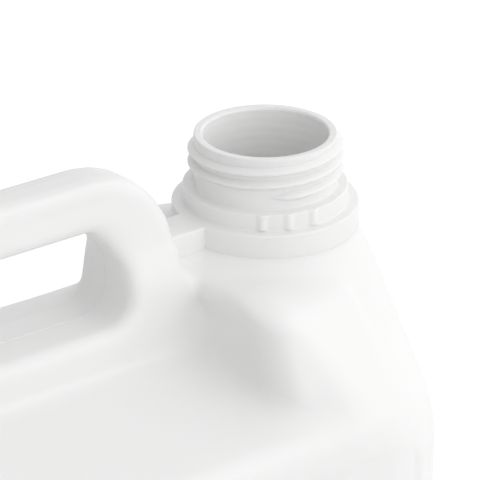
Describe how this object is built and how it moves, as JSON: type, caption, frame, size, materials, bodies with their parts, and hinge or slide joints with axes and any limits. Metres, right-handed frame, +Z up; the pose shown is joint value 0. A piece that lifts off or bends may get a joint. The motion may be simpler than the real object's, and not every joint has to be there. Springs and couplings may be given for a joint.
{
  "type": "jug",
  "caption": "Blow-moulded white plastic jug for liquid rinse aid, with an open screw neck at the front, a hollow grip loop on top and flat label panels in both sides.",
  "frame": {"origin": "middle of the base, on the surface that the jug stands on", "axes": "+X from the back towards the neck end, +Z up along the neck axis, +Y to the left seen from behind"},
  "size_m": [0.216, 0.1428, 0.2444],
  "materials": {
    "white_plastic": "satin white moulded polyethylene"
  },
  "bodies": {
    "root": {"jug": "white_plastic"}
  },
  "joints": []
}
